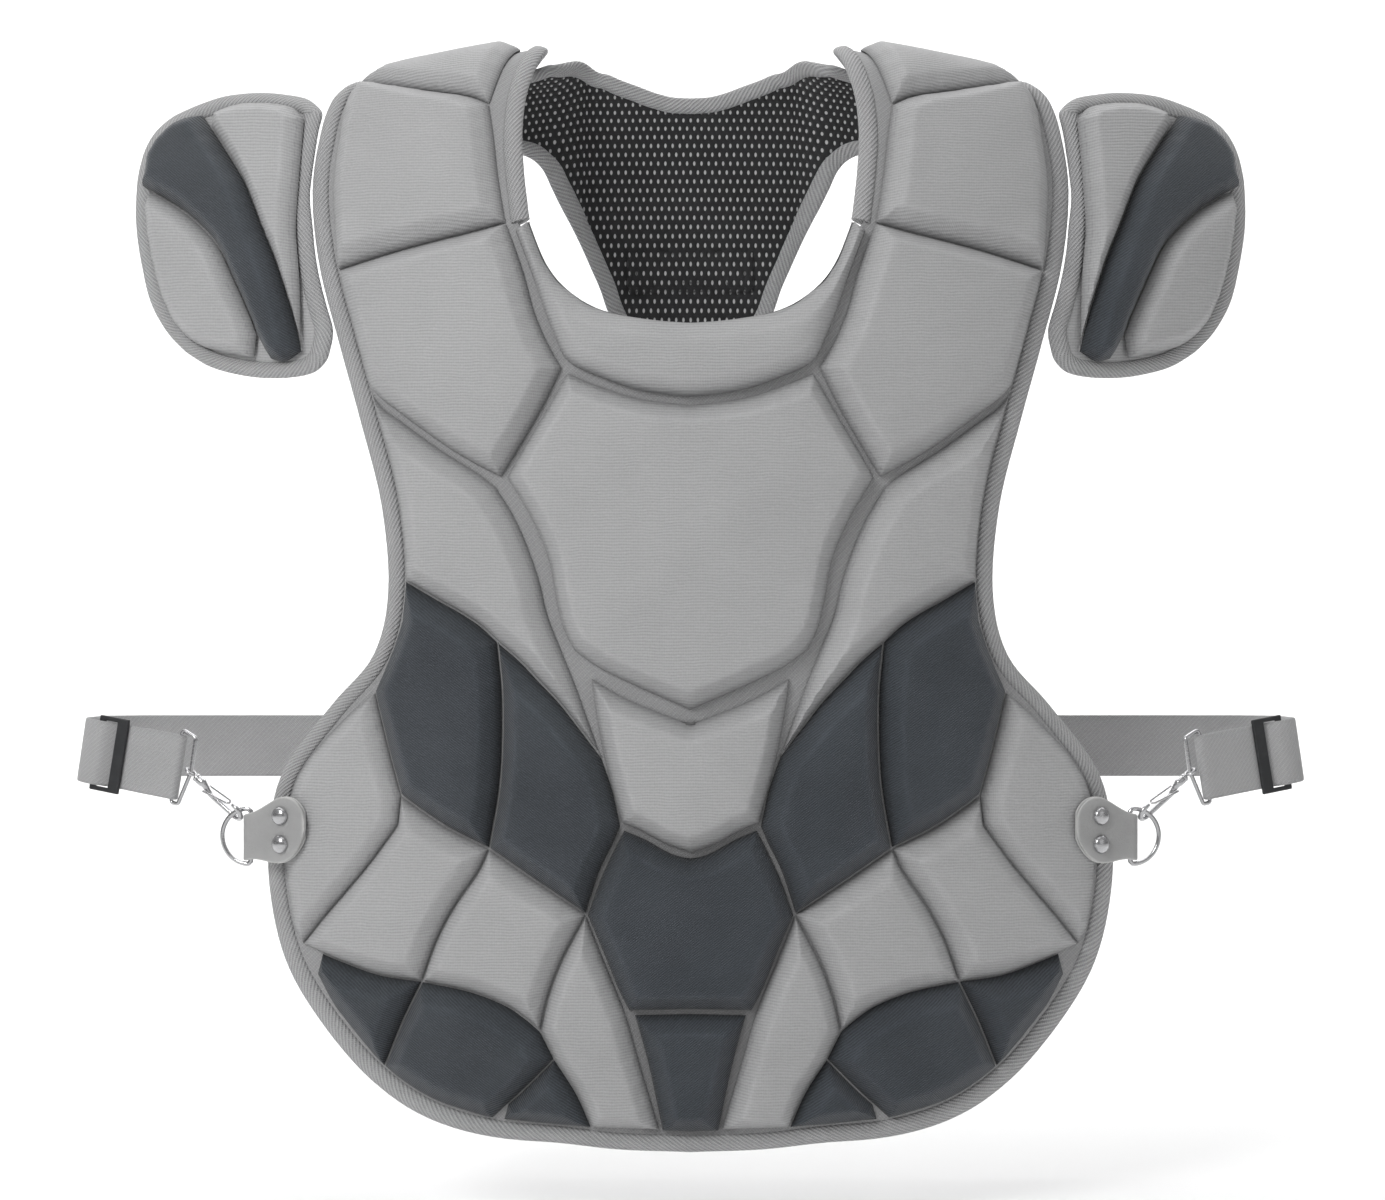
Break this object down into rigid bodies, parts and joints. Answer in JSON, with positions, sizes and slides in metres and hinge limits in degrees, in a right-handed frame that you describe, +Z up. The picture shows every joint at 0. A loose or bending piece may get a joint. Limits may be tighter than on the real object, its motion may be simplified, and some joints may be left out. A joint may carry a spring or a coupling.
{
  "type": "chest protector",
  "caption": "Padded chest protector with shoulder caps, a mesh yoke behind the neck and a waist strap that clips to rings at both sides.",
  "frame": {"origin": "Middle of the line that rests on the shoulders, half way between the two shoulder straps at their highest level.", "axes": "+Z up, -Y to the front of the wearer, +X to the right-hand side seen from the front."},
  "size_m": [0.654, 0.2001, 0.5724],
  "materials": {
    "belly_pad": "dark slate twill over foam",
    "belly_tip": "dark slate twill over foam",
    "cap_bar_left": "dark slate twill over foam",
    "cap_bar_right": "dark slate twill over foam",
    "cap_inner_left": "fine ribbed grey cloth over foam",
    "cap_inner_right": "fine ribbed grey cloth over foam",
    "cap_outer_left": "fine ribbed grey cloth over foam",
    "cap_outer_right": "fine ribbed grey cloth over foam",
    "chest_panel": "fine ribbed grey cloth over foam",
    "dark_inner_left": "dark slate twill over foam",
    "dark_inner_right": "dark slate twill over foam",
    "dark_outer_left": "dark slate twill over foam",
    "dark_outer_right": "dark slate twill over foam",
    "flank_pad_left": "fine ribbed grey cloth over foam",
    "flank_pad_right": "fine ribbed grey cloth over foam",
    "groin_pad_left": "fine ribbed grey cloth over foam",
    "groin_pad_right": "fine ribbed grey cloth over foam",
    "hem_inner_left": "dark slate twill over foam",
    "hem_inner_right": "dark slate twill over foam",
    "hem_middle_left": "dark slate twill over foam",
    "hem_middle_right": "dark slate twill over foam",
    "hem_outer_left": "dark slate twill over foam",
    "hem_outer_right": "dark slate twill over foam",
    "hook_gate_left": "bright plated steel",
    "hook_gate_right": "bright plated steel",
    "hook_left": "bright plated steel",
    "hook_right": "bright plated steel",
    "neck_band": "fine ribbed grey cloth over foam",
    "panel_binding": "grey twill binding",
    "rib_pad_left": "fine ribbed grey cloth over foam",
    "rib_pad_right": "fine ribbed grey cloth over foam",
    "ring_left": "bright plated steel",
    "ring_right": "bright plated steel",
    "rivet_lower_left": "bright plated steel",
    "rivet_lower_right": "bright plated steel",
    "rivet_upper_left": "bright plated steel",
    "rivet_upper_right": "bright plated steel",
    "shoulder_cap_left": "fine ribbed grey cloth over foam",
    "shoulder_cap_right": "fine ribbed grey cloth over foam",
    "shoulder_pad_left": "fine ribbed grey cloth over foam",
    "shoulder_pad_right": "fine ribbed grey cloth over foam",
    "shoulder_top_left": "fine ribbed grey cloth over foam",
    "shoulder_top_right": "fine ribbed grey cloth over foam",
    "side_inner_left": "fine ribbed grey cloth over foam",
    "side_inner_right": "fine ribbed grey cloth over foam",
    "side_outer_left": "fine ribbed grey cloth over foam",
    "side_outer_right": "fine ribbed grey cloth over foam",
    "slider_left": "dull black moulded plastic",
    "slider_right": "dull black moulded plastic",
    "sternum_pad": "fine ribbed grey cloth over foam",
    "sternum_point": "fine ribbed grey cloth over foam",
    "tab_left": "smooth grey leather",
    "tab_right": "smooth grey leather",
    "upper_chest_left": "fine ribbed grey cloth over foam",
    "upper_chest_right": "fine ribbed grey cloth over foam",
    "waist_strap": "woven grey webbing",
    "wire_loop_left": "bright plated steel",
    "wire_loop_right": "bright plated steel",
    "yoke_binding": "grey twill binding",
    "yoke_pad": "black spacer mesh"
  },
  "bodies": {
    "protector": {"belly_pad": "belly_pad", "belly_tip": "belly_tip", "cap_bar_left": "cap_bar_left", "cap_bar_right": "cap_bar_right", "cap_inner_left": "cap_inner_left", "cap_inner_right": "cap_inner_right", "cap_outer_left": "cap_outer_left", "cap_outer_right": "cap_outer_right", "chest_panel": "chest_panel", "dark_inner_left": "dark_inner_left", "dark_inner_right": "dark_inner_right", "dark_outer_left": "dark_outer_left", "dark_outer_right": "dark_outer_right", "flank_pad_left": "flank_pad_left", "flank_pad_right": "flank_pad_right", "groin_pad_left": "groin_pad_left", "groin_pad_right": "groin_pad_right", "hem_inner_left": "hem_inner_left", "hem_inner_right": "hem_inner_right", "hem_middle_left": "hem_middle_left", "hem_middle_right": "hem_middle_right", "hem_outer_left": "hem_outer_left", "hem_outer_right": "hem_outer_right", "hook_left": "hook_left", "hook_right": "hook_right", "neck_band": "neck_band", "panel_binding": "panel_binding", "rib_pad_left": "rib_pad_left", "rib_pad_right": "rib_pad_right", "ring_left": "ring_left", "ring_right": "ring_right", "rivet_lower_left": "rivet_lower_left", "rivet_lower_right": "rivet_lower_right", "rivet_upper_left": "rivet_upper_left", "rivet_upper_right": "rivet_upper_right", "shoulder_cap_left": "shoulder_cap_left", "shoulder_cap_right": "shoulder_cap_right", "shoulder_pad_left": "shoulder_pad_left", "shoulder_pad_right": "shoulder_pad_right", "shoulder_top_left": "shoulder_top_left", "shoulder_top_right": "shoulder_top_right", "side_inner_left": "side_inner_left", "side_inner_right": "side_inner_right", "side_outer_left": "side_outer_left", "side_outer_right": "side_outer_right", "slider_left": "slider_left", "slider_right": "slider_right", "sternum_pad": "sternum_pad", "sternum_point": "sternum_point", "tab_left": "tab_left", "tab_right": "tab_right", "upper_chest_left": "upper_chest_left", "upper_chest_right": "upper_chest_right", "waist_strap": "waist_strap", "wire_loop_left": "wire_loop_left", "wire_loop_right": "wire_loop_right", "yoke_binding": "yoke_binding", "yoke_pad": "yoke_pad"},
    "gate_left": {"hook_gate_left": "hook_gate_left"},
    "gate_right": {"hook_gate_right": "hook_gate_right"}
  },
  "joints": [
    {"name": "gate_hinge_left", "type": "hinge", "parent": "protector", "child": "gate_left", "pos_m": [-0.25301, -0.00207, -0.36856], "axis": [0.6832, 0.5197, 0.513], "range_deg": [0, 16], "stiffness_Nm_per_rad": 0.02},
    {"name": "gate_hinge_right", "type": "hinge", "parent": "protector", "child": "gate_right", "pos_m": [0.25301, -0.00207, -0.36856], "axis": [0.6832, -0.5197, -0.513], "range_deg": [0, 16], "stiffness_Nm_per_rad": 0.02}
  ]
}
